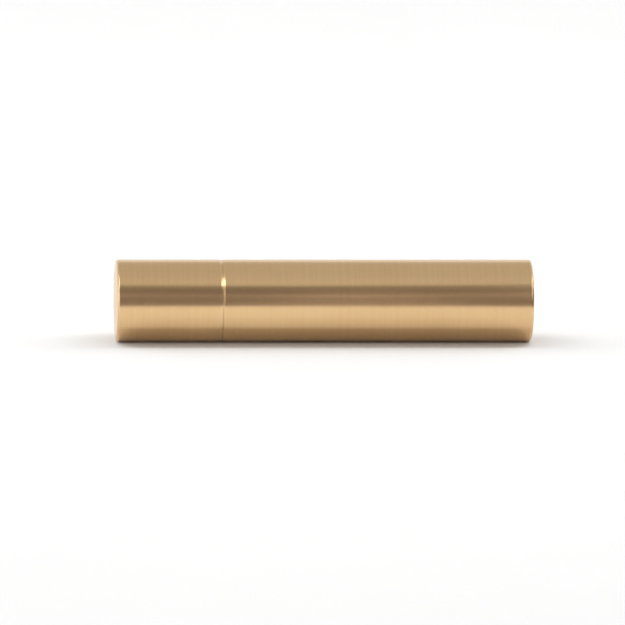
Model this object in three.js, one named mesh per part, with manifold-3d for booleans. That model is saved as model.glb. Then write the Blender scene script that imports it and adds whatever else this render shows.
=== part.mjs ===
// A pocket brass-wire brush for cleaning soldering tips.
//
// A tube-shaped handle holds a bundle of fine brass wires in a collet, and a plain cap covers them.
// Units are millimetres and +Z is up. The tool lies along X on the plane Z = 0, with its cap at -X.

import * as THREE from 'three';
import { mergeVertices } from 'three/addons/utils/BufferGeometryUtils.js';
import Module from 'manifold-3d';

const wasm = await Module();
wasm.setup();

// ---- Driving dimensions ----

const overallLength = 50.8;
const outerRadius = 5;
const capLength = 12.9;
const bundleRadius = 1.5;
const bundleLength = 35;

// Edges and clearances. The edges at the seam are eased far along and only a little deep.
const edgeBreak = 0.2;
const seamGap = 0.02;
const seamEaseLength = 0.25;
const seamEaseDepth = 0.075;
const smallChamfer = 0.2;
const pressedGap = 0.03;
const slidingGap = 0.1;
const seatGap = 0.05;

// Facets around a full turn. The case has few and wide ones, so that it rests without rolling.
const caseFacets = 24;
const fineFacets = 48;
const innerFacets = 32;

// ---- Dimensions that follow ----

const barrelLength = overallLength - capLength - seamGap;
const barrelBoreRadius = 0.76 * outerRadius;
const capBoreRadius = 0.86 * outerRadius;
const capEndWall = 0.9;

// The neck bush: a tail in the barrel, a spigot in the cap, and a threaded nose under the nut.
const spigotRadius = capBoreRadius - slidingGap;
const spigotLength = 4.2;
const tailLength = 6;
const noseRadius = 3;
const noseLength = 2.7;
const noseTip = -spigotLength - noseLength;
const bushBoreRadius = 2.3;

// The O-ring and its groove in the spigot.
const oRingSectionRadius = 0.5;
const oRingClearance = 0.04;
const oRingRadius = capBoreRadius - oRingSectionRadius - oRingClearance;
const grooveRadius = oRingRadius - oRingSectionRadius - seatGap;
const grooveWidth = 1.4;
const grooveCentre = -0.45 * spigotLength;

// The plug in the barrel's rear end, with its flush head on a gasket.
const plugHeadThickness = 1;
const plugHeadRadius = 4.2;
const gasketThickness = 0.35;
const plugSeatDepth = plugHeadThickness + gasketThickness + 2 * seatGap;
const plugShankLength = 3.4;
const plugShankRadius = barrelBoreRadius - slidingGap;

// The C-ring between the bush's nose and the collet's head.
const ringThickness = 0.3;
const ringFront = noseTip - slidingGap - ringThickness;

// The collet. Its datum is the back of its head, which is a cone that narrows towards the tips.
const coneSlope = 0.5;
const colletShankRadius = bushBoreRadius - slidingGap;
const colletNeckRadius = 1.95;
const colletBoreRadius = bundleRadius + seatGap;
const colletHeadRadius = 2.7;
const colletHeadLength = 1.45;
const colletShankLength = 4.9;
const colletHeadBack = ringFront - seatGap;

// The nut. Its datum is its rear face.
const nutRadius = 3.6;
const nutLength = 4.2;
const nutToSpigot = 0.6;
const nutBack = -spigotLength - nutToSpigot;
const nutThreadRadius = noseRadius + slidingGap;

// ---- Materials ----

const brass = () => new THREE.MeshStandardMaterial({ color: 0xc9a66f, roughness: 0.28, metalness: 1 });
const wireBrass = () => new THREE.MeshStandardMaterial({ color: 0xd4a953, roughness: 0.35, metalness: 1 });
const springSteel = () => new THREE.MeshStandardMaterial({ color: 0x9da2a8, roughness: 0.3, metalness: 1 });
const rubber = () => new THREE.MeshStandardMaterial({ color: 0x1c1c1e, roughness: 0.7, metalness: 0 });
const fibre = () => new THREE.MeshStandardMaterial({ color: 0x7a2f22, roughness: 0.85, metalness: 0 });

// ---- Shape helpers ----

// A solid of revolution about X. The outline lists [x, radius] corners towards +X along the
// outside, and it comes back along the bore, or starts and ends on the axis. The flats of the
// facets touch the true circle, so the piece measures its true diameter across them.
function turned(outline, facets = fineFacets) {
  const cornerReach = 1 / Math.cos(Math.PI / facets);
  const points = outline.map(([x, radius]) => new THREE.Vector2(radius * cornerReach, x));
  if (points[0].x > 0) {
    points.push(points[0].clone());
  }
  // Starting half a facet round puts a flat, not a corner, at the bottom.
  const geometry = new THREE.LatheGeometry(points, facets, Math.PI / facets);
  geometry.rotateZ(-Math.PI / 2);
  return geometry;
}

// An outline in the YZ plane, extruded from x = 0 towards +X.
function extrudedAlongX(shape, length) {
  const options = { depth: length, bevelEnabled: false, curveSegments: 12 };
  const geometry = new THREE.ExtrudeGeometry(shape, options);
  geometry.rotateY(Math.PI / 2);
  return geometry;
}

// A closed outline of evenly spaced corners, with the radius of each given by its number.
function radialShape(radiusAt, corners) {
  const points = [];
  for (let i = 0; i < corners; i += 1) {
    const angle = (2 * Math.PI * i) / corners;
    const radius = radiusAt(i);
    points.push(new THREE.Vector2(radius * Math.cos(angle), radius * Math.sin(angle)));
  }
  return new THREE.Shape(points);
}

// ---- Booleans ----

function toSolid(geometry) {
  const bare = geometry.clone();
  bare.deleteAttribute('normal');
  bare.deleteAttribute('uv');
  const merged = mergeVertices(bare, 1e-5);
  const corners = Array.from(merged.index.array);
  const triangles = [];
  for (let i = 0; i < corners.length; i += 3) {
    const [a, b, c] = corners.slice(i, i + 3);
    // Triangles at the axis collapse to a line when their corners merge.
    if (a !== b && b !== c && c !== a) {
      triangles.push(a, b, c);
    }
  }
  const mesh = new wasm.Mesh({
    numProp: 3,
    vertProperties: new Float32Array(merged.attributes.position.array),
    triVerts: new Uint32Array(triangles),
  });
  return new wasm.Manifold(mesh);
}

function toGeometry(solid) {
  const mesh = solid.getMesh();
  const geometry = new THREE.BufferGeometry();
  geometry.setAttribute('position', new THREE.BufferAttribute(mesh.vertProperties, 3));
  geometry.setIndex(new THREE.BufferAttribute(mesh.triVerts, 1));
  geometry.computeVertexNormals();
  return geometry;
}

function named(name, geometry, material, x = 0) {
  const mesh = new THREE.Mesh(geometry, material);
  mesh.name = name;
  mesh.position.x = x;
  return mesh;
}

// ---- The cap: a cup with a flat closed end at x = 0 ----

function makeCapShell() {
  const mouthChamfer = 0.25;
  const outline = [
    [0, 0],
    [0, outerRadius - edgeBreak],
    [edgeBreak, outerRadius],
    [capLength - seamEaseLength, outerRadius],
    [capLength, outerRadius - seamEaseDepth],
    [capLength, capBoreRadius + mouthChamfer],
    [capLength - mouthChamfer, capBoreRadius],
    [capEndWall, capBoreRadius],
    [capEndWall, 0],
  ];
  return named('cap_shell', turned(outline, caseFacets), brass());
}

// ---- The handle: x = 0 is the barrel's front face ----

function makeBarrel() {
  const outline = [
    [0, barrelBoreRadius],
    [0, outerRadius - seamEaseDepth],
    [seamEaseLength, outerRadius],
    [barrelLength - edgeBreak, outerRadius],
    [barrelLength, outerRadius - edgeBreak],
    [barrelLength, plugHeadRadius + slidingGap],
    [barrelLength - plugSeatDepth, plugHeadRadius + slidingGap],
    [barrelLength - plugSeatDepth, barrelBoreRadius],
  ];
  return named('barrel', turned(outline, caseFacets), brass());
}

function makeNeckBush() {
  const grooveFront = grooveCentre - grooveWidth / 2;
  const grooveBack = grooveCentre + grooveWidth / 2;
  const shoulder = -seatGap;
  const tailRadius = barrelBoreRadius - pressedGap;
  const outline = [
    [noseTip, bushBoreRadius],
    [noseTip, noseRadius - smallChamfer],
    [noseTip + smallChamfer, noseRadius],
    [-spigotLength, noseRadius],
    [-spigotLength, spigotRadius - 2 * smallChamfer],
    [-spigotLength + 2 * smallChamfer, spigotRadius],
    [grooveFront, spigotRadius],
    [grooveFront, grooveRadius],
    [grooveBack, grooveRadius],
    [grooveBack, spigotRadius],
    [shoulder, spigotRadius],
    [shoulder, tailRadius],
    [tailLength - smallChamfer, tailRadius],
    [tailLength, tailRadius - smallChamfer],
    [tailLength, bushBoreRadius],
  ];
  return named('neck_bush', turned(outline), brass());
}

function makeCapORing() {
  const geometry = new THREE.TorusGeometry(oRingRadius, oRingSectionRadius, 12, fineFacets);
  geometry.rotateY(Math.PI / 2);
  return named('cap_o_ring', geometry, rubber(), grooveCentre);
}

// ---- The rear closure: x = 0 is the plug's outer face, flush with the barrel's end ----

function makeEndPlug() {
  const headBack = -plugHeadThickness;
  const reliefDepth = 0.3;
  const reliefLength = 0.6;
  const reliefRadius = plugShankRadius - reliefDepth;
  const reliefBack = headBack - reliefLength;
  const shankTip = headBack - plugShankLength;
  const outline = [
    [shankTip, 0],
    [shankTip, plugShankRadius - 2 * smallChamfer],
    [shankTip + 2 * smallChamfer, plugShankRadius],
    [reliefBack, plugShankRadius],
    [reliefBack, reliefRadius],
    [headBack, reliefRadius],
    [headBack, plugHeadRadius],
    [-smallChamfer, plugHeadRadius],
    [0, plugHeadRadius - smallChamfer],
    [0, 0],
  ];
  const slotWidth = 1;
  const slotDepth = 0.6;
  const slot = new THREE.BoxGeometry(2 * slotDepth, 2 * outerRadius, slotWidth);
  const plug = toSolid(turned(outline)).subtract(toSolid(slot));
  return named('end_plug', toGeometry(plug), brass());
}

function makePlugGasket() {
  const gasketFront = -plugHeadThickness - seatGap - gasketThickness;
  const outline = [
    [gasketFront, plugShankRadius + slidingGap],
    [gasketFront, plugHeadRadius],
    [gasketFront + gasketThickness, plugHeadRadius],
    [gasketFront + gasketThickness, plugShankRadius + slidingGap],
  ];
  return named('plug_gasket', turned(outline), fibre());
}

// ---- The clamp: a slotted collet, its nut and the ring that joins them ----

function makeCollet() {
  const tipRadius = colletHeadRadius - coneSlope * colletHeadLength;
  const neckBack = ringThickness + 2 * seatGap;
  const outline = [
    [-colletHeadLength, colletBoreRadius],
    [-colletHeadLength, tipRadius],
    [-smallChamfer, colletHeadRadius],
    [0, colletHeadRadius],
    [0, colletNeckRadius],
    [neckBack, colletNeckRadius],
    [neckBack, colletShankRadius],
    [colletShankLength - smallChamfer, colletShankRadius],
    [colletShankLength, colletShankRadius - smallChamfer],
    [colletShankLength, colletBoreRadius],
  ];
  const slotWidth = 0.35;
  const slottedShare = 0.7;
  const slotLength = colletHeadLength + slottedShare * colletShankLength;
  let jaws = toSolid(turned(outline, innerFacets));
  for (const turn of [Math.PI / 4, -Math.PI / 4]) {
    const slot = new THREE.BoxGeometry(slotLength, slotWidth, 2 * outerRadius);
    slot.translate(slotLength / 2 - colletHeadLength - smallChamfer, 0, 0);
    slot.rotateX(turn);
    jaws = jaws.subtract(toSolid(slot));
  }
  return named('collet', toGeometry(jaws), brass(), colletHeadBack);
}

function makeColletNut() {
  const knurlTeeth = 30;
  const knurlDepth = 0.18;
  const knurl = radialShape((i) => (i % 2 === 0 ? nutRadius : nutRadius - knurlDepth), 2 * knurlTeeth);
  const knurled = extrudedAlongX(knurl, nutLength);
  knurled.translate(-nutLength, 0, 0);

  const shoulder = ringFront - seatGap - nutBack;
  const coneGap = 0.15;
  const coneWide = colletHeadRadius + coneGap;
  const mouthRadius = coneWide - coneSlope * colletHeadLength;
  const mouth = shoulder - colletHeadLength;
  const noseChamfer = 0.6;
  const outline = [
    [-nutLength, mouthRadius],
    [-nutLength, nutRadius - noseChamfer],
    [-nutLength + noseChamfer, nutRadius],
    [-smallChamfer, nutRadius],
    [0, nutRadius - smallChamfer],
    [0, nutThreadRadius],
    [shoulder, nutThreadRadius],
    [shoulder, coneWide],
    [mouth, mouthRadius],
  ];
  const nut = toSolid(turned(outline)).intersect(toSolid(knurled));
  return named('collet_nut', toGeometry(nut), brass(), nutBack);
}

function makeNutRetainingRing() {
  const outer = nutThreadRadius - seatGap;
  const inner = colletNeckRadius + slidingGap;
  const halfOpening = Math.PI / 9;
  const shape = new THREE.Shape();
  shape.absarc(0, 0, outer, halfOpening, -halfOpening, false);
  shape.absarc(0, 0, inner, -halfOpening, halfOpening, true);
  shape.closePath();
  return named('nut_retaining_ring', extrudedAlongX(shape, ringThickness), springSteel(), ringFront);
}

// ---- The refill: x = 0 is the wires' free tips ----

function makeBristleBundle() {
  const wiresAround = 16;
  const valleyDepth = 0.12;
  const valleyRadius = bundleRadius - valleyDepth;
  const outline = radialShape((i) => (i % 4 === 2 ? valleyRadius : bundleRadius), 4 * wiresAround);
  return named('bristle_bundle', extrudedAlongX(outline, bundleLength), wireBrass());
}

function makeBundleFerrule() {
  const ferruleLength = 5;
  const endWall = 0.5;
  const ferruleRadius = 2.3;
  const crimpDepth = 0.2;
  const innerRadius = bundleRadius + seatGap;
  const crimpRadius = ferruleRadius - crimpDepth;
  const wallBack = ferruleLength - endWall;
  const outline = [
    [wallBack, 0],
    [wallBack, innerRadius],
    [0, innerRadius],
    [0, ferruleRadius],
    [0.3 * ferruleLength, ferruleRadius],
    [0.4 * ferruleLength, crimpRadius],
    [0.6 * ferruleLength, crimpRadius],
    [0.7 * ferruleLength, ferruleRadius],
    [ferruleLength, ferruleRadius],
    [ferruleLength, 0],
  ];
  const ferruleX = bundleLength - wallBack + seatGap;
  return named('bundle_ferrule', turned(outline, innerFacets), brass(), ferruleX);
}

// ---- Assembly ----

function group(x, ...members) {
  const assembly = new THREE.Group();
  assembly.position.x = x;
  assembly.add(...members);
  return assembly;
}

const capEnd = -overallLength / 2;
const barrelFront = capEnd + capLength + seamGap;
const barrelRear = overallLength / 2;
const tipClearance = 0.35;

const cap = group(capEnd, makeCapShell());
const handle = group(barrelFront, makeBarrel(), makeNeckBush(), makeCapORing());
const clamp = group(barrelFront, makeCollet(), makeColletNut(), makeNutRetainingRing());
const rearClosure = group(barrelRear, makeEndPlug(), makePlugGasket());
const refill = group(capEnd + capEndWall + tipClearance, makeBristleBundle(), makeBundleFerrule());

const tool = group(0, cap, handle, clamp, rearClosure, refill);
tool.position.z = outerRadius;

export default tool;
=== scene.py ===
"""Looks for a pocket brass-wire brush: a turned brass case with a pull-off cap over a collet.

Every piece is a fine mesh in the frame's own place and size. Lengths are in metres, the tool's
axis runs along X, and "angle" goes round that axis from +Z towards +Y.
"""

import math
import random

import bpy
from mathutils import Matrix, Vector


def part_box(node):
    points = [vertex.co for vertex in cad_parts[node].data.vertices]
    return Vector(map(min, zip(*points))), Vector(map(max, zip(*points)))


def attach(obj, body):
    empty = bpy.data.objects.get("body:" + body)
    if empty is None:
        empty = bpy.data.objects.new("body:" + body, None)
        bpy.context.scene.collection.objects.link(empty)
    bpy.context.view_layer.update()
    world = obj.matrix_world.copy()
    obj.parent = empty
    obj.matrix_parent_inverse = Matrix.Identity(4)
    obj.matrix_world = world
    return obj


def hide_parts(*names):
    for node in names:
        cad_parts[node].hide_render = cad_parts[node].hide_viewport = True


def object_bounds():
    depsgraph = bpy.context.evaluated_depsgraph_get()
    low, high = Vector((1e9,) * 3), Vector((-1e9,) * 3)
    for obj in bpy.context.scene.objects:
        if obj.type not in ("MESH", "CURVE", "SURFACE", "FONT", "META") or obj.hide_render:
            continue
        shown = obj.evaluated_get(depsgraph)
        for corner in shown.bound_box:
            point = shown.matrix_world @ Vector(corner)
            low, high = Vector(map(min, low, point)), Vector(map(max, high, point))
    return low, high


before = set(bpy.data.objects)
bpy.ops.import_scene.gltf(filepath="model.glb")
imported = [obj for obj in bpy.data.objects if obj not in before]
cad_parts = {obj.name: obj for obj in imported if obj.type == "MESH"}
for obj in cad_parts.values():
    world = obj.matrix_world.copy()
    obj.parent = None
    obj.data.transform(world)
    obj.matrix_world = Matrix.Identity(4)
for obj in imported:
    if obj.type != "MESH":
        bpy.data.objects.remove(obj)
cad_low, cad_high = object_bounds()

MM = 0.001
AXIS_Z = (cad_low.z + cad_high.z) / 2
TURN = 2 * math.pi


# ---- Sizes that the frame gives ----


def ends(node):
    """The first and last X of a CAD node."""
    low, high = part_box(node)
    return low.x, high.x


def half_height(node):
    """Half of a CAD node's height, which is its outer radius to the flat of its facets."""
    low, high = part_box(node)
    return (high.z - low.z) / 2


CASE_RADIUS = half_height("barrel")
CAP_END, CAP_MOUTH = ends("cap_shell")
BARREL_FRONT, BARREL_REAR = ends("barrel")
NOSE_TIP, TAIL_END = ends("neck_bush")
RING_FRONT, RING_BACK = ends("nut_retaining_ring")
COLLET_FRONT, COLLET_BACK = ends("collet")
NUT_FRONT, NUT_BACK = ends("collet_nut")
BRISTLE_TIPS, BRISTLE_BACK = ends("bristle_bundle")
FERRULE_FRONT, FERRULE_BACK = ends("bundle_ferrule")
PLUG_TIP, PLUG_FACE = ends("end_plug")
GASKET_FRONT, GASKET_BACK = ends("plug_gasket")
O_RING_FRONT, O_RING_BACK = ends("cap_o_ring")

# Sizes inside the case, as the CAD has them.
BARREL_BORE = 3.8 * MM
CAP_BORE = 4.3 * MM
CAP_END_WALL = 0.9 * MM
SPIGOT_RADIUS = 4.2 * MM
SPIGOT_LENGTH = 4.2 * MM
NOSE_RADIUS = 3.0 * MM
BUSH_BORE = 2.3 * MM
GROOVE_RADIUS = 3.21 * MM
COLLET_HEAD_RADIUS = 2.7 * MM
COLLET_HEAD_LENGTH = 1.45 * MM
COLLET_NECK_RADIUS = 1.95 * MM
WIRE_BORE = 1.55 * MM
NUT_MOUTH_RADIUS = 2.125 * MM
PLUG_HEAD_RADIUS = 4.2 * MM
PLUG_SHANK_RADIUS = 3.7 * MM
NUT_PITCH = 0.5 * MM
PLUG_PITCH = 0.75 * MM
SEAT_GAP = 0.05 * MM
RUNNING_GAP = 0.1 * MM

# The broken edges of the case, at its ends and on both sides of the seam.
EDGE_BREAK = 0.2 * MM
EDGE_FILLET = 0.2 * MM
SEAM_EASE_LENGTH = 0.25 * MM
SEAM_EASE_DEPTH = 0.075 * MM
SEAM_EASE_FILLET = 0.2 * MM
SEAM_LIP_FILLET = 0.01 * MM


# ---- Turned shapes ----

ROUND_SEGMENTS = 192
# The usual broken edge, and how far from it a support point lies.
FILLET = 0.035 * MM
FILLET_STEPS = 4
SUPPORT = 0.04 * MM
# Two radii closer than this are the same.
HAIR = 1e-7


def filleted(corners):
    """The outline through (x, radius) corners with each corner rounded off.

    A corner can name its own fillet as a third number. Corners on the axis stay sharp. A support
    point on each side of a fillet keeps the smooth shading of the long faces flat. Each point
    comes back as (x, radius, wear), where wear is 1 on a rounded edge and 0 on a face.
    """
    outline = []
    count = len(corners)
    for i, corner in enumerate(corners):
        here = Vector(corner[:2])
        if corner[1] == 0:
            outline.append((here.x, here.y, 0.0))
            continue
        before = Vector(corners[i - 1][:2]) - here
        after = Vector(corners[(i + 1) % count][:2]) - here
        fillet = corner[2] if len(corner) > 2 else FILLET
        turn = math.pi - before.angle(after)
        reach = min(fillet * math.tan(turn / 2), 0.4 * before.length, 0.4 * after.length)
        first = here + before.normalized() * reach
        last = here + after.normalized() * reach
        lead_in = first + before.normalized() * min(SUPPORT, 0.25 * before.length - 0.2 * reach)
        lead_out = last + after.normalized() * min(SUPPORT, 0.25 * after.length - 0.2 * reach)
        outline.append((lead_in.x, lead_in.y, 0.0))
        for step in range(FILLET_STEPS + 1):
            t = step / FILLET_STEPS
            point = first * (1 - t) ** 2 + here * 2 * t * (1 - t) + last * t ** 2
            outline.append((point.x, point.y, 1.0))
        outline.append((lead_out.x, lead_out.y, 0.0))
    starts_on_axis = corners[0][1] == 0
    if not starts_on_axis:
        outline.append(outline[0])
    return outline


def with_stations(outline, first, last, radius, step):
    """Adds points every step along the stretch of the outline that lies at that radius."""
    dense = [outline[0]]
    for before, after in zip(outline, outline[1:]):
        level = abs(before[1] - radius) < HAIR and abs(after[1] - radius) < HAIR
        low, high = min(before[0], after[0]), max(before[0], after[0])
        inside = low > first - SUPPORT and high < last + SUPPORT
        pieces = max(1, round((high - low) / step)) if level and inside else 1
        for i in range(1, pieces):
            dense.append((before[0] + (after[0] - before[0]) * i / pieces, radius, 0.0))
        dense.append(after)
    return dense


def smooth(mesh, sharpest=math.radians(40)):
    """Smooth shading, with a crease wherever two faces turn more than that angle."""
    mesh.shade_smooth()
    mesh.set_sharp_from_angle(angle=sharpest)


def mesh_piece(name, points, faces, wear=None):
    """A smooth-shaded object from points in the frame, with an optional wear value per point."""
    mesh = bpy.data.meshes.new(name)
    mesh.from_pydata(points, [], faces)
    if wear:
        mesh.attributes.new("wear", "FLOAT", "POINT").data.foreach_set("value", wear)
    piece = bpy.data.objects.new(name, mesh)
    bpy.context.scene.collection.objects.link(piece)
    smooth(mesh)
    return piece


def round_axis(x, radius, angle):
    """The point at that angle round the tool's axis."""
    return (x, radius * math.sin(angle), AXIS_Z + radius * math.cos(angle))


def revolved(name, outline, relief=None, segments=ROUND_SEGMENTS):
    """Turns an outline about the axis. relief(x, radius, angle) gives a depth to cut into it."""
    closed = outline[0][1] > 0
    rings = outline[:-1] if closed else outline
    points, wear, starts = [], [], []
    for x, radius, worn in rings:
        starts.append(len(points))
        for j in range(segments if radius > 0 else 1):
            angle = TURN * j / segments
            depth = relief(x, radius, angle) if relief else 0
            points.append(round_axis(x, radius - depth, angle))
            wear.append(worn)
    faces = []
    for i in range(len(rings) if closed else len(rings) - 1):
        following = (i + 1) % len(rings)
        here, there = starts[i], starts[following]
        for j in range(segments):
            beside = (j + 1) % segments
            if rings[i][1] == 0:
                faces.append((here, there + j, there + beside))
            elif rings[following][1] == 0:
                faces.append((here + j, there, here + beside))
            else:
                faces.append((here + j, there + j, there + beside, here + beside))
    return mesh_piece(name, points, faces, wear)


def thread(first, last, crest, pitch, depth):
    """The relief of a right-hand screw thread. A negative depth cuts it into a bore."""
    # The crest and the root are each flat for a tenth of the pitch.
    flat = 0.1

    def relief(x, radius, angle):
        if abs(radius - crest) > HAIR or not first < x < last:
            return 0
        phase = (x / pitch + angle / TURN) % 1
        rise = 1 - abs(2 * phase - 1)
        flank = min(1, max(0, (rise - flat) / (1 - 2 * flat)))
        run_out = min(1, (x - first) / pitch, (last - x) / pitch)
        return depth * flank * run_out

    return relief


def box_cutter(centre, size, turn):
    """A plain box, turned about X, for cutting a slot."""
    rotation = Matrix.Rotation(turn, 3, "X")
    points = []
    for x in (-0.5, 0.5):
        for y in (-0.5, 0.5):
            for z in (-0.5, 0.5):
                corner = Vector((x * size[0], y * size[1], z * size[2]))
                points.append(Vector(centre) + rotation @ corner)
    faces = [(0, 1, 3, 2), (4, 6, 7, 5), (0, 4, 5, 1), (2, 3, 7, 6), (0, 2, 6, 4), (1, 5, 7, 3)]
    return mesh_piece("cutter", points, faces)


def cut_slots(piece, boxes, edge_width):
    """Cuts (centre, size, turn about X) boxes out of a piece and breaks the sharp edges left."""
    cutters = []
    for centre, size, turn in boxes:
        cutter = box_cutter(centre, size, turn)
        modifier = piece.modifiers.new("slot", "BOOLEAN")
        modifier.operation = "DIFFERENCE"
        modifier.solver = "EXACT"
        modifier.object = cutter
        cutters.append(cutter)
    bevel = piece.modifiers.new("edges", "BEVEL")
    bevel.limit_method = "ANGLE"
    bevel.angle_limit = math.radians(50)
    bevel.width = edge_width
    bevel.segments = 2
    apply_modifiers(piece)
    for cutter in cutters:
        bpy.data.objects.remove(cutter)


def apply_modifiers(piece):
    """Replaces a piece's mesh with the one its modifiers make."""
    depsgraph = bpy.context.evaluated_depsgraph_get()
    mesh = bpy.data.meshes.new_from_object(piece.evaluated_get(depsgraph))
    piece.modifiers.clear()
    piece.data = mesh
    smooth(mesh)


# ---- Materials ----


class Nodes:
    """A short way to wire up one material. Most methods add a node and return its output."""

    def __init__(self, name):
        self.material = bpy.data.materials.new(name)
        self.material.use_nodes = True
        self.tree = self.material.node_tree
        self.shader = self.tree.nodes["Principled BSDF"]

    def add(self, kind, **settings):
        node = self.tree.nodes.new(kind)
        for key, value in settings.items():
            setattr(node, key, value)
        return node

    def link(self, source, target):
        """Feeds a socket, or sets it where the source is a plain value."""
        if isinstance(source, bpy.types.NodeSocket):
            self.tree.links.new(source, target)
        else:
            target.default_value = source

    def shade(self, name, source):
        """Feeds or sets one of the shader's own sockets."""
        self.link(source, self.shader.inputs[name])

    def math(self, operation, first, second=0.0):
        node = self.add("ShaderNodeMath", operation=operation)
        self.link(first, node.inputs[0])
        self.link(second, node.inputs[1])
        return node.outputs[0]

    def place(self):
        """Object coordinates: the frame's own X, Y and Z at rest."""
        return self.add("ShaderNodeTexCoord").outputs["Object"]

    def split(self, vector):
        node = self.add("ShaderNodeSeparateXYZ")
        self.link(vector, node.inputs[0])
        return node.outputs

    def noise(self, vector, scale, detail):
        """Noise in space, with that many features to a metre."""
        node = self.add("ShaderNodeTexNoise", noise_dimensions="3D")
        node.inputs["Scale"].default_value = scale
        node.inputs["Detail"].default_value = detail
        self.link(vector, node.inputs["Vector"])
        return node.outputs["Fac"]

    def noise_along(self, distance, scale, detail):
        """Noise that changes only with that distance."""
        node = self.add("ShaderNodeTexNoise", noise_dimensions="1D")
        node.inputs["Scale"].default_value = scale
        node.inputs["Detail"].default_value = detail
        self.link(distance, node.inputs["W"])
        return node.outputs["Fac"]

    def between(self, value, low, high, to_low=0.0, to_high=1.0):
        """Maps value from low..high to to_low..to_high, smoothly and held at both ends."""
        node = self.add("ShaderNodeMapRange", interpolation_type="SMOOTHSTEP")
        for socket, number in zip(node.inputs[1:5], (low, high, to_low, to_high)):
            socket.default_value = number
        self.link(value, node.inputs[0])
        return node.outputs[0]

    def mix(self, share, first, second):
        node = self.add("ShaderNodeMix", data_type="RGBA")
        self.link(share, node.inputs[0])
        self.link(first, node.inputs[6])
        self.link(second, node.inputs[7])
        return node.outputs[2]

    def stretched(self, vector, x, y, z):
        node = self.add("ShaderNodeMapping")
        node.inputs["Scale"].default_value = (x, y, z)
        self.link(vector, node.inputs["Vector"])
        return node.outputs["Vector"]

    def bump(self, height, distance, normal=None):
        node = self.add("ShaderNodeBump")
        node.inputs["Strength"].default_value = 1.0
        node.inputs["Distance"].default_value = distance
        self.link(height, node.inputs["Height"])
        if normal:
            self.link(normal, node.inputs["Normal"])
        return node.outputs["Normal"]


def tinted(color, red, green, blue):
    """An RGBA colour with each channel of an RGB one scaled, and held at full."""
    return (min(1, color[0] * red), min(1, color[1] * green), min(1, color[2] * blue), 1.0)


def scaled(color, factor):
    """An RGBA colour, lighter or darker than an RGB one by that factor."""
    return tinted(color, factor, factor, factor)


def lathe_feed(nodes, place):
    """How far the cutter has gone: along X on the sides and along the radius on the ends."""
    x, y, z = nodes.split(place)
    height = nodes.math("SUBTRACT", z, AXIS_Z)
    square = nodes.math("ADD", nodes.math("MULTIPLY", y, y), nodes.math("MULTIPLY", height, height))
    return nodes.math("ADD", x, nodes.math("SQRT", square))


def turned_metal(name, color, roughness, line_pitch, line_depth, tarnish=0.25):
    """Metal with the lathe's lines round it, faint rub marks along it, and polished edges."""
    nodes = Nodes(name)
    place = nodes.place()
    feed = lathe_feed(nodes, place)
    fine_lines = nodes.noise_along(feed, 1 / line_pitch, 3)
    broad_lines = nodes.noise_along(feed, 0.1 / line_pitch, 3)
    rubs = nodes.noise(nodes.stretched(place, 0.03, 1, 1), 2600, 3)
    scratches = nodes.between(rubs, 0.68, 0.75)
    scratch_depth = 0.0002 * MM
    patches = nodes.noise(place, 110, 2)
    rounded_edge = nodes.add("ShaderNodeAttribute", attribute_name="wear").outputs["Fac"]
    unevenly = nodes.between(nodes.noise(place, 900, 2), 0.35, 0.6, 0.35, 1.0)
    worn = nodes.math("MULTIPLY", rounded_edge, unevenly)

    # Colour: tarnished in patches, darker in the lathe's lines, brighter on the worn edges.
    darkened = tinted(color, 0.84, 0.78, 0.72)
    base = nodes.mix(nodes.between(patches, 0.4, 0.75, 0.0, tarnish), scaled(color, 1), darkened)
    base = nodes.mix(nodes.between(broad_lines, 0.3, 0.7, 0.0, 0.17), base, darkened)
    base = nodes.mix(nodes.between(fine_lines, 0.35, 0.65, 0.0, 0.1), base, darkened)
    polished = scaled(color, 1.15)
    nodes.shade("Base Color", nodes.mix(nodes.math("MULTIPLY", worn, 0.35), base, polished))

    # Roughness: close to one value all over, and smoother on the worn edges.
    rough = nodes.between(patches, 0.3, 0.8, roughness - 0.01, roughness + 0.01)
    rough = nodes.math("ADD", rough, nodes.between(broad_lines, 0.2, 0.8, -0.01, 0.01))
    rough = nodes.math("ADD", rough, nodes.between(rubs, 0.3, 0.7, -0.006, 0.006))
    nodes.shade("Roughness", nodes.math("SUBTRACT", rough, nodes.math("MULTIPLY", worn, 0.03)))

    # Relief: the lathe's lines, with scratches along the tool.
    normal = nodes.bump(fine_lines, line_depth)
    normal = nodes.bump(broad_lines, 2 * line_depth, normal)
    nodes.shade("Normal", nodes.bump(scratches, -scratch_depth, normal))

    nodes.shade("Metallic", 1.0)
    nodes.shade("Anisotropic", 0.4)
    # A quarter turn lays the long way of the highlight across the lathe's lines.
    nodes.shade("Anisotropic Rotation", 0.25)
    round_tool = nodes.add("ShaderNodeTangent", direction_type="RADIAL", axis="X").outputs[0]
    nodes.shade("Tangent", round_tool)
    return nodes.material


def drawn_wire(name, color):
    """Bright drawn wire: fine lines along it, and a little colour from wire to wire and by heat."""
    nodes = Nodes(name)
    place = nodes.place()
    lines = nodes.noise(nodes.stretched(place, 0.05, 1, 1), 9000, 2)
    wires = nodes.noise(nodes.stretched(place, 0.01, 1, 1), 5200, 1)
    heat = nodes.between(nodes.noise(place, 500, 2), 0.4, 0.8)
    base = nodes.mix(nodes.between(wires, 0.35, 0.65), scaled(color, 0.8), scaled(color, 1.1))
    heated = tinted(color, 0.85, 0.6, 0.5)
    nodes.shade("Base Color", nodes.mix(nodes.math("MULTIPLY", heat, 0.5), base, heated))
    nodes.shade("Roughness", nodes.between(lines, 0.2, 0.8, 0.28, 0.4))
    nodes.shade("Normal", nodes.bump(lines, 0.002 * MM))
    nodes.shade("Metallic", 1.0)
    return nodes.material


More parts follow.
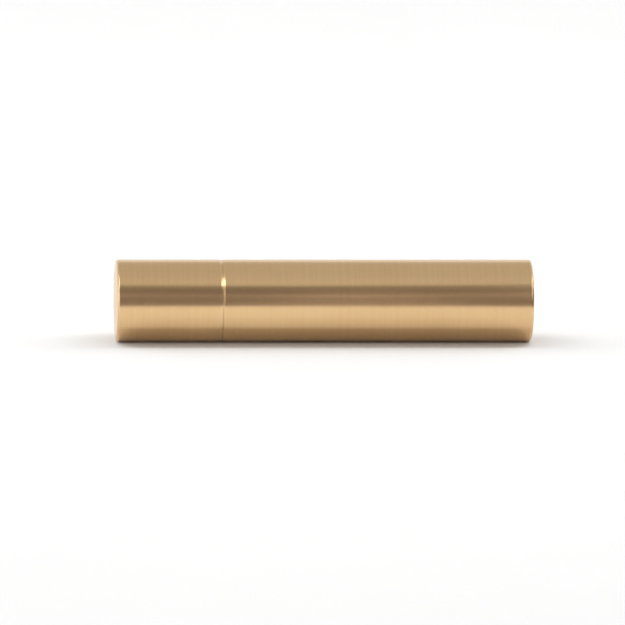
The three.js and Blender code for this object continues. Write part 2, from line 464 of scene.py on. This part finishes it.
def moulded_rubber(name, color):
    """Rubber with a fine grain and a smear of grease."""
    nodes = Nodes(name)
    place = nodes.place()
    grain = nodes.noise(place, 9000, 4)
    grease = nodes.noise(place, 700, 2)
    greasy = nodes.between(grease, 0.4, 0.7)
    nodes.shade("Base Color", nodes.mix(greasy, scaled(color, 1), scaled(color, 1.9)))
    nodes.shade("Roughness", nodes.between(grease, 0.35, 0.7, 0.28, 0.55))
    nodes.shade("Normal", nodes.bump(grain, 0.004 * MM))
    return nodes.material


def pressed_fibre(name, color):
    """Matt fibre board, with its fibres lying along Y."""
    nodes = Nodes(name)
    fibres = nodes.noise(nodes.stretched(nodes.place(), 1, 0.4, 1), 4200, 5)
    nodes.shade("Base Color", nodes.mix(fibres, scaled(color, 0.6), scaled(color, 1.5)))
    nodes.shade("Roughness", nodes.between(fibres, 0.3, 0.7, 0.65, 0.9))
    nodes.shade("Normal", nodes.bump(fibres, 0.01 * MM))
    return nodes.material


CASE_COLOR = (0.78, 0.535, 0.285)
FITTING_COLOR = (0.77, 0.54, 0.27)
STEEL_COLOR = (0.5, 0.5, 0.52)
WIRE_COLOR = (0.80, 0.55, 0.20)
RUBBER_COLOR = (0.012, 0.012, 0.013)
FIBRE_COLOR = (0.28, 0.045, 0.025)

case_brass = turned_metal("case_brass", CASE_COLOR, 0.24, 0.05 * MM, 0.0001 * MM)
fitting_brass = turned_metal("fitting_brass", FITTING_COLOR, 0.335, 0.08 * MM, 0.001 * MM, tarnish=0.4)
spring_steel = turned_metal("spring_steel", STEEL_COLOR, 0.335, 0.03 * MM, 0.0005 * MM)
wire_brass = drawn_wire("wire_brass", WIRE_COLOR)
black_rubber = moulded_rubber("black_rubber", RUBBER_COLOR)
red_fibre = pressed_fibre("red_fibre", FIBRE_COLOR)


def settle(piece, node, material, body):
    """Gives a piece its material, and puts it in the CAD node's place on its body."""
    piece.data.materials.clear()
    piece.data.materials.append(material)
    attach(piece, body)
    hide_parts(node)


# ---- The case ----


def make_cap():
    """A cup with a flat closed end and a broken edge on both rims."""
    bore_chamfer = 0.25 * MM
    floor = CAP_END + CAP_END_WALL
    floor_fillet = 0.2 * MM
    outline = filleted([
        (CAP_END, 0),
        (CAP_END, CASE_RADIUS - EDGE_BREAK, EDGE_FILLET),
        (CAP_END + EDGE_BREAK, CASE_RADIUS, EDGE_FILLET),
        (CAP_MOUTH - SEAM_EASE_LENGTH, CASE_RADIUS, SEAM_EASE_FILLET),
        (CAP_MOUTH, CASE_RADIUS - SEAM_EASE_DEPTH, SEAM_LIP_FILLET),
        (CAP_MOUTH, CAP_BORE + bore_chamfer),
        (CAP_MOUTH - bore_chamfer, CAP_BORE),
        (floor, CAP_BORE, floor_fillet),
        (floor, 0),
    ])
    return revolved("cap_case", outline)


def make_barrel():
    """The tube: a plain bore, then the plug's thread, then a seat for the plug's head."""
    seat = GASKET_FRONT - SEAT_GAP
    seat_radius = PLUG_HEAD_RADIUS + RUNNING_GAP
    thread_first = seat - 3.6 * MM
    thread_last = seat - 0.1 * MM
    thread_depth = 0.2 * MM
    outline = filleted([
        (BARREL_FRONT, BARREL_BORE),
        (BARREL_FRONT, CASE_RADIUS - SEAM_EASE_DEPTH, SEAM_LIP_FILLET),
        (BARREL_FRONT + SEAM_EASE_LENGTH, CASE_RADIUS, SEAM_EASE_FILLET),
        (BARREL_REAR - EDGE_BREAK, CASE_RADIUS, EDGE_FILLET),
        (BARREL_REAR, CASE_RADIUS - EDGE_BREAK, EDGE_FILLET),
        (BARREL_REAR, seat_radius),
        (seat, seat_radius),
        (seat, BARREL_BORE),
        (thread_first, BARREL_BORE, 0),
    ])
    outline = with_stations(outline, thread_first, seat, BARREL_BORE, PLUG_PITCH / 10)
    relief = thread(thread_first, thread_last, BARREL_BORE, PLUG_PITCH, -thread_depth)
    return revolved("barrel_case", outline, relief)


# ---- The neck: bush and O-ring ----


def make_neck_bush():
    """The threaded nose, the spigot with the O-ring's groove, and the tail in the barrel."""
    shoulder = BARREL_FRONT - SEAT_GAP
    spigot_front = BARREL_FRONT - SPIGOT_LENGTH
    tail_radius = BARREL_BORE - 0.03 * MM
    lead_in = 0.4 * MM
    relief_front = spigot_front - 0.35 * MM
    relief_radius = NOSE_RADIUS - 0.35 * MM
    thread_depth = 0.26 * MM
    soft_fillet = 0.1 * MM
    tip_chamfer = 0.2 * MM
    groove_middle = (O_RING_FRONT + O_RING_BACK) / 2
    groove_half = 0.7 * MM
    outline = filleted([
        (NOSE_TIP, BUSH_BORE),
        (NOSE_TIP, NOSE_RADIUS - tip_chamfer),
        (NOSE_TIP + tip_chamfer, NOSE_RADIUS),
        (relief_front, NOSE_RADIUS),
        (relief_front, relief_radius),
        (spigot_front, relief_radius, soft_fillet),
        (spigot_front, SPIGOT_RADIUS - lead_in),
        (spigot_front + lead_in, SPIGOT_RADIUS, soft_fillet),
        (groove_middle - groove_half, SPIGOT_RADIUS),
        (groove_middle - groove_half, GROOVE_RADIUS, soft_fillet),
        (groove_middle + groove_half, GROOVE_RADIUS, soft_fillet),
        (groove_middle + groove_half, SPIGOT_RADIUS),
        (shoulder, SPIGOT_RADIUS),
        (shoulder, tail_radius),
        (TAIL_END - tip_chamfer, tail_radius),
        (TAIL_END, tail_radius - tip_chamfer),
        (TAIL_END, BUSH_BORE),
    ])
    outline = with_stations(outline, NOSE_TIP, spigot_front, NOSE_RADIUS, NUT_PITCH / 10)
    relief = thread(NOSE_TIP, spigot_front, NOSE_RADIUS, NUT_PITCH, thread_depth)
    return revolved("neck_bush_turned", outline, relief)


def make_o_ring():
    """A round cord squeezed flat where the cap's bore presses on it."""
    middle = (O_RING_FRONT + O_RING_BACK) / 2
    cord = (O_RING_BACK - O_RING_FRONT) / 2
    cord_radius = half_height("cap_o_ring") - cord
    squeezed = 0.93
    steps = 32
    outline = []
    for i in range(steps + 1):
        angle = TURN * i / steps
        height = min(squeezed, math.sin(angle))
        outline.append((middle - cord * math.cos(angle), cord_radius + cord * height, 0.0))
    outline[-1] = outline[0]
    return revolved("o_ring_cord", outline)


# ---- The clamp ----


def make_collet():
    """A sleeve with a coned head and a neck for the ring, slotted crosswise into four jaws."""
    head_back = RING_FRONT - SEAT_GAP
    neck_back = RING_BACK + SEAT_GAP
    tip_radius = COLLET_HEAD_RADIUS - COLLET_HEAD_LENGTH / 2
    shank_radius = BUSH_BORE - RUNNING_GAP
    rim = 0.2 * MM
    outline = filleted([
        (COLLET_FRONT, WIRE_BORE),
        (COLLET_FRONT, tip_radius),
        (head_back - rim, COLLET_HEAD_RADIUS),
        (head_back, COLLET_HEAD_RADIUS),
        (head_back, COLLET_NECK_RADIUS),
        (neck_back, COLLET_NECK_RADIUS),
        (neck_back, shank_radius),
        (COLLET_BACK - rim, shank_radius),
        (COLLET_BACK, shank_radius - rim),
        (COLLET_BACK, WIRE_BORE),
    ])
    piece = revolved("collet_jaws", outline, segments=128)
    slot_width = 0.35 * MM
    slot_past_head = 3.23 * MM
    slot_front = COLLET_FRONT - 0.5 * MM
    slot_back = COLLET_FRONT + COLLET_HEAD_LENGTH + slot_past_head
    centre = ((slot_front + slot_back) / 2, 0, AXIS_Z)
    size = (slot_back - slot_front, slot_width, 4 * CASE_RADIUS)
    cut_slots(piece, [(centre, size, TURN / 8), (centre, size, -TURN / 8)], 0.03 * MM)
    return piece


def make_collet_nut():
    """A nut with a straight knurl, domed at its mouth."""
    outer = half_height("collet_nut")
    nose_chamfer = 0.6 * MM
    nose_fillet = 0.3 * MM
    back_chamfer = 0.2 * MM
    shoulder = RING_FRONT - SEAT_GAP
    cone_radius = 2.85 * MM
    nut_bore = NOSE_RADIUS + RUNNING_GAP
    outline = filleted([
        (NUT_FRONT, NUT_MOUTH_RADIUS),
        (NUT_FRONT, outer - nose_chamfer, nose_fillet),
        (NUT_FRONT + nose_chamfer, outer, nose_fillet),
        (NUT_BACK - back_chamfer, outer),
        (NUT_BACK, outer - back_chamfer),
        (NUT_BACK, nut_bore),
        (shoulder, nut_bore),
        (shoulder, cone_radius),
        (shoulder - COLLET_HEAD_LENGTH, NUT_MOUTH_RADIUS),
    ])
    outline = with_stations(outline, NUT_FRONT, NUT_BACK, outer, 0.15 * MM)
    teeth = 30
    depth = 0.18 * MM
    first = NUT_FRONT + 1.25 * nose_chamfer
    last = NUT_BACK - 2 * back_chamfer

    def knurl(x, radius, angle):
        if radius < outer - HAIR:
            return 0
        valley = abs(2 * ((angle * teeth / TURN) % 1) - 1)
        fade = min(1, max(0, (x - first) / depth), max(0, (last - x) / depth))
        return depth * fade * valley ** 0.8

    return revolved("collet_nut_knurled", outline, knurl, segments=teeth * 10)


def make_nut_ring():
    """An open ring of square wire: the section swept round all but the opening."""
    outer = 3.05 * MM
    inner = 2.05 * MM
    corners = [(RING_FRONT, inner), (RING_FRONT, outer), (RING_BACK, outer), (RING_BACK, inner)]
    section = filleted(corners)[:-1]
    size = len(section)
    opening = TURN / 9
    steps = 120
    points = []
    for j in range(steps + 1):
        angle = TURN / 4 + opening / 2 + (TURN - opening) * j / steps
        points += [round_axis(x, radius, angle) for x, radius, _ in section]
    faces = [tuple(range(size)), tuple(steps * size + i for i in reversed(range(size)))]
    for j in range(steps):
        near, far = j * size, (j + 1) * size
        for i in range(size):
            beside = (i + 1) % size
            faces.append((near + i, near + beside, far + beside, far + i))
    return mesh_piece("nut_ring_open", points, faces)


# ---- The refill ----

WIRE_COUNT = 240
WIRE_RADIUS = 0.07 * MM
WIRE_SIDES = 6
GOLDEN_ANGLE = math.pi * (3 - math.sqrt(5))


def wire_path(rng, index):
    """The (x, y, z from the axis) points of one wire, from its tip to its end in the ferrule."""
    bundle_radius = 1.4 * MM
    spread = 0.08 * MM
    crimp = 0.03 * MM
    tip_dome = 0.25 * MM
    loose_steps = 12
    share = math.sqrt((index + 0.5) / WIRE_COUNT)
    bearing = index * GOLDEN_ANGLE
    tip = BRISTLE_TIPS + rng.uniform(0, 0.3) * MM + tip_dome * share ** 4
    phase = rng.uniform(0, TURN)
    lean = rng.uniform(-1, 1) * crimp
    wave_length = rng.uniform(1.1, 1.7) * MM
    stations = [tip + (COLLET_FRONT - tip) * s / loose_steps for s in range(loose_steps + 1)]
    stations += [COLLET_BACK, FERRULE_FRONT, BRISTLE_BACK]
    path = []
    for x in stations:
        free = max(0, (COLLET_FRONT - x) / (COLLET_FRONT - BRISTLE_TIPS))
        radius = share * (bundle_radius + spread * free)
        wave = crimp * free * math.sin(TURN * x / wave_length + phase)
        y = radius * math.sin(bearing) + wave * math.cos(phase) + lean * free
        z = radius * math.cos(bearing) + wave * math.sin(phase)
        path.append((x, y, z))
    return path


def make_bristles():
    """A few hundred fine wires: straight in the collet, loose and a little crimped in front."""
    rng = random.Random(11)
    sides = range(WIRE_SIDES)
    points, faces = [], []
    for index in range(WIRE_COUNT):
        first = len(points)
        path = wire_path(rng, index)
        for x, y, z in path:
            for side in sides:
                _, across, up = round_axis(x, WIRE_RADIUS, TURN * side / WIRE_SIDES)
                points.append((x, y + across, z + up))
        end = first + (len(path) - 1) * WIRE_SIDES
        for near in range(first, end, WIRE_SIDES):
            far = near + WIRE_SIDES
            for side in sides:
                beside = (side + 1) % WIRE_SIDES
                faces.append((near + side, far + side, far + beside, near + beside))
        faces.append(tuple(first + side for side in sides))
        faces.append(tuple(end + side for side in reversed(sides)))
    piece = mesh_piece("bristle_wires", points, faces)
    smooth(piece.data, math.radians(75))
    return piece


def make_ferrule():
    """A cup crimped round the wires in six flats."""
    outer = half_height("bundle_ferrule")
    length = FERRULE_BACK - FERRULE_FRONT
    end_wall = 0.5 * MM
    outline = filleted([
        (FERRULE_BACK - end_wall, 0),
        (FERRULE_BACK - end_wall, WIRE_BORE),
        (FERRULE_FRONT, WIRE_BORE),
        (FERRULE_FRONT, outer),
        (FERRULE_BACK, outer, 0.3 * MM),
        (FERRULE_BACK, 0),
    ])
    outline = with_stations(outline, FERRULE_FRONT, FERRULE_BACK, outer, 0.15 * MM)
    middle = FERRULE_FRONT + length / 2
    crimp_half = 0.2 * length
    crimp_depth = 0.2 * MM

    def crimp(x, radius, angle):
        if radius < outer - HAIR:
            return 0
        press = max(0, 1 - (abs(x - middle) / crimp_half) ** 4)
        return crimp_depth * press * (0.4 + 0.6 * abs(math.cos(3 * angle)))

    return revolved("ferrule_crimped", outline, crimp, segments=96)


# ---- The rear closure ----


def make_end_plug():
    """A screw with a slotted head that sits flush in the barrel's rear."""
    head_back = GASKET_BACK + SEAT_GAP
    relief_back = head_back - 0.6 * MM
    relief_radius = PLUG_SHANK_RADIUS - 0.3 * MM
    thread_depth = 0.32 * MM
    tip_chamfer = 0.4 * MM
    face_chamfer = 0.2 * MM
    outline = filleted([
        (PLUG_TIP, 0),
        (PLUG_TIP, PLUG_SHANK_RADIUS - tip_chamfer),
        (PLUG_TIP + tip_chamfer, PLUG_SHANK_RADIUS),
        (relief_back, PLUG_SHANK_RADIUS),
        (relief_back, relief_radius),
        (head_back, relief_radius),
        (head_back, PLUG_HEAD_RADIUS),
        (PLUG_FACE - face_chamfer, PLUG_HEAD_RADIUS),
        (PLUG_FACE, PLUG_HEAD_RADIUS - face_chamfer),
        (PLUG_FACE, 0),
    ])
    outline = with_stations(outline, PLUG_TIP, relief_back, PLUG_SHANK_RADIUS, PLUG_PITCH / 10)
    relief = thread(PLUG_TIP, relief_back, PLUG_SHANK_RADIUS, PLUG_PITCH, thread_depth)
    piece = revolved("end_plug_screw", outline, relief)
    slot_width = 1.0 * MM
    slot_depth = 0.6 * MM
    slot = ((PLUG_FACE, 0, AXIS_Z), (2 * slot_depth, 4 * CASE_RADIUS, slot_width), 0)
    cut_slots(piece, [slot], 0.05 * MM)
    return piece


def make_gasket():
    """A flat ring that seals under the plug's head."""
    inner = PLUG_SHANK_RADIUS + RUNNING_GAP
    outline = filleted([
        (GASKET_FRONT, inner),
        (GASKET_FRONT, PLUG_HEAD_RADIUS),
        (GASKET_BACK, PLUG_HEAD_RADIUS),
        (GASKET_BACK, inner),
    ])
    return revolved("gasket_ring", outline)


settle(make_cap(), "cap_shell", case_brass, "cap")
settle(make_barrel(), "barrel", case_brass, "handle")
settle(make_neck_bush(), "neck_bush", fitting_brass, "handle")
settle(make_o_ring(), "cap_o_ring", black_rubber, "handle")
settle(make_collet(), "collet", fitting_brass, "collet")
settle(make_collet_nut(), "collet_nut", fitting_brass, "nut")
settle(make_nut_ring(), "nut_retaining_ring", spring_steel, "nut")
settle(make_bristles(), "bristle_bundle", wire_brass, "refill")
settle(make_ferrule(), "bundle_ferrule", fitting_brass, "refill")
settle(make_end_plug(), "end_plug", case_brass, "plug")
settle(make_gasket(), "plug_gasket", red_fibre, "plug_seal")


# ---- Stage ----

# How far off the backdrop stands, and its top in degrees of elevation.
STUDIO_RADIUS = 2.2
BACKDROP_TOP = 32
BACKDROP_GLOW = 0.95
WORLD_COLOR = (1.0, 0.995, 0.985, 1)
WORLD_GLOW = 0.62
WHITE = (1, 1, 1, 1)
BLACK = (0, 0, 0, 1)

# The dim room that the brass reflects: how far off it stands, its top in degrees of elevation,
# and its tones from the floor up as (elevation, colour), blended from one to the next.
ROOM_DISTANCE = 0.055
ROOM_FOOT = 0.0002
ROOM_TOP = 50
LOW_SIDE_TOP = 9
MIDDLE_TONE = (0.27, 0.245, 0.245, 1)
PALE_TONE = (0.36, 0.325, 0.335, 1)
DARK_TONE = (0.215, 0.195, 0.19, 1)
ROOM_TONES = [
    (-4, MIDDLE_TONE),
    (17, MIDDLE_TONE),
    (19, PALE_TONE),
    (26, PALE_TONE),
    (28, DARK_TONE),
    (ROOM_TOP, DARK_TONE),
]

# A paler patch of that room, a little right of its middle, which narrows towards its top.
PATCH_MIDDLE = 7.5 * MM
PATCH_CORE = 8 * MM
PATCH_EDGE = 15 * MM
PATCH_NARROWING = 0.15
PATCH_GLOW = 1.46
OUTSIDE_GLOW = 0.96


def height_at(distance, elevation):
    """The height seen at that elevation from the tool's axis, so far away."""
    return AXIS_Z + distance * math.tan(math.radians(elevation))


def arc_wall(name, radius, heights, first, last):
    """An upright curved wall round the tool, between two bearings from the -Y direction."""
    steps = 48
    points, faces = [], []
    for i in range(steps + 1):
        bearing = first + (last - first) * i / steps
        x, y = radius * math.sin(bearing), -radius * math.cos(bearing)
        points += [(x, y, heights[0]), (x, y, heights[1])]
    for i in range(steps):
        faces.append((2 * i, 2 * i + 2, 2 * i + 3, 2 * i + 1))
    wall = mesh_piece(name, points, faces)
    return wall


def glow(nodes, color, strength):
    """Makes a material shine and reflect nothing."""
    nodes.shade("Base Color", BLACK)
    nodes.shade("Specular IOR Level", 0)
    nodes.shade("Emission Color", color)
    nodes.shade("Emission Strength", strength)


def make_floor():
    sides = 64
    rim = []
    for i in range(sides):
        bearing = TURN * i / sides
        rim.append((STUDIO_RADIUS * math.cos(bearing), STUDIO_RADIUS * math.sin(bearing), 0))
    floor = mesh_piece("floor", rim, [tuple(range(sides))])
    nodes = Nodes("pale_floor")
    grain = nodes.noise(nodes.place(), 60, 3)
    nodes.shade("Base Color", nodes.mix(grain, scaled(WHITE, 0.69), scaled(WHITE, 0.71)))
    nodes.shade("Roughness", 0.9)
    nodes.shade("Specular IOR Level", 0.1)
    floor.data.materials.append(nodes.material)


def make_backdrop():
    heights = (0, height_at(STUDIO_RADIUS, BACKDROP_TOP))
    backdrop = arc_wall("backdrop", STUDIO_RADIUS, heights, -math.pi, math.pi)
    nodes = Nodes("pale_wall")
    glow(nodes, WHITE, BACKDROP_GLOW)
    backdrop.data.materials.append(nodes.material)


def dim_room_material():
    """Tones that change with height, and a paler patch."""
    low = height_at(ROOM_DISTANCE, ROOM_TONES[0][0])
    high = height_at(ROOM_DISTANCE, ROOM_TOP)
    nodes = Nodes("dim_room")
    x, _, z = nodes.split(nodes.place())
    ramp = nodes.add("ShaderNodeValToRGB")
    stops = ramp.color_ramp.elements
    while len(stops) < len(ROOM_TONES):
        stops.new(0.5)
    for stop, (elevation, tone) in zip(stops, ROOM_TONES):
        stop.position = (height_at(ROOM_DISTANCE, elevation) - low) / (high - low)
        stop.color = tone
    nodes.link(nodes.math("DIVIDE", nodes.math("SUBTRACT", z, low), high - low), ramp.inputs[0])
    aside = nodes.math("ABSOLUTE", nodes.math("SUBTRACT", x, PATCH_MIDDLE))
    reach = nodes.math("ADD", aside, nodes.math("MULTIPLY", z, PATCH_NARROWING))
    patch = nodes.between(reach, PATCH_CORE, PATCH_EDGE, PATCH_GLOW, OUTSIDE_GLOW)
    glow(nodes, ramp.outputs[0], patch)
    return nodes.material


def make_dim_room():
    """The room in front of the tool and a low wall on its right, which only reflections show."""
    front_end = math.radians(40)
    side_end = math.radians(115)
    front_heights = (ROOM_FOOT, height_at(ROOM_DISTANCE, ROOM_TOP))
    side_heights = (ROOM_FOOT, height_at(ROOM_DISTANCE, LOW_SIDE_TOP))
    material = dim_room_material()
    for wall in (
        arc_wall("room_front", ROOM_DISTANCE, front_heights, -front_end, front_end),
        arc_wall("room_side", ROOM_DISTANCE, side_heights, front_end, side_end),
    ):
        wall.data.materials.append(material)
        wall.visible_camera = False
        wall.visible_diffuse = False
        wall.visible_shadow = False


def make_softbox(name, seen_by, place, size, radiance):
    """A light at that place that faces the tool. The size is its level side, then its tilted side.

    Seen by "gloss", it shows only in reflections. Seen by "matt", it lights only matt surfaces.
    """
    light = bpy.data.lights.new(name, "AREA")
    light.shape = "RECTANGLE"
    light.size, light.size_y = size
    light.energy = radiance * math.pi * light.size * light.size_y
    box = bpy.data.objects.new(name, light)
    box.location = place
    box.rotation_euler = Vector(place).normalized().to_track_quat("Z", "Y").to_euler()
    box.visible_glossy = seen_by == "gloss"
    box.visible_diffuse = seen_by == "matt"
    bpy.context.scene.collection.objects.link(box)


def make_world():
    world = bpy.data.worlds.new("studio")
    bpy.context.scene.world = world
    world.use_nodes = True
    background = world.node_tree.nodes["Background"]
    background.inputs["Color"].default_value = WORLD_COLOR
    background.inputs["Strength"].default_value = WORLD_GLOW


def make_lights():
    """Strips and an edge light for the brass, and soft light from above and all round for the floor."""
    strip, back, low = (0.56, 0.14), (0.5, 0.5), (0.8, 0.25)
    make_softbox("strip_left", "gloss", (-0.31, -0.17, 0.5), strip, 2.7)
    make_softbox("strip_right", "gloss", (0.40, -0.17, 0.5), strip, 2.7)
    make_softbox("edge_left", "gloss", (-0.8, -0.15, 0.25), (0.12, 0.6), 2.5)
    make_softbox("overhead", "matt", (0, -0.02, 0.7), (0.9, 0.15), 5.0)
    make_softbox("back_left", "matt", (-0.48, 0.18, 0.48), back, 2.0)
    make_softbox("back_right", "matt", (0.48, 0.18, 0.48), back, 1.8)
    make_softbox("low_left", "matt", (-0.8, -0.1, 0.14), low, 3.4)
    make_softbox("low_right", "matt", (0.8, -0.1, 0.14), low, 2.4)


def make_camera():
    """Long lens, a little left of square-on and a little above, levelled to the tool's axis."""
    azimuth = math.radians(-4)
    elevation = math.radians(10)
    distance = 1.6
    tool_share = 0.666
    view_width = (cad_high.x - cad_low.x) / tool_share
    back = Vector((
        math.sin(azimuth) * math.cos(elevation),
        -math.cos(azimuth) * math.cos(elevation),
        math.sin(elevation),
    ))
    along = Vector((1, 0, 0))
    right = (along - back * along.dot(back)).normalized()
    up = back.cross(right)
    # The tool lies a little right of and above the middle of the picture, as shares of its width.
    tool_right = 0.0175
    tool_up = 0.0192
    target = Vector((0, 0, AXIS_Z)) - (right * tool_right + up * tool_up) * view_width
    data = bpy.data.cameras.new("camera")
    data.sensor_width = 36
    data.lens = data.sensor_width * distance / view_width
    data.clip_start = 0.01
    data.clip_end = 10
    camera = bpy.data.objects.new("camera", data)
    axes = Matrix((right, up, back)).transposed().to_4x4()
    camera.matrix_world = Matrix.Translation(target + back * distance) @ axes
    bpy.context.scene.collection.objects.link(camera)
    bpy.context.scene.camera = camera


make_floor()
make_backdrop()
make_dim_room()
make_world()
make_lights()
make_camera()
bpy.context.scene.view_settings.view_transform = "Standard"
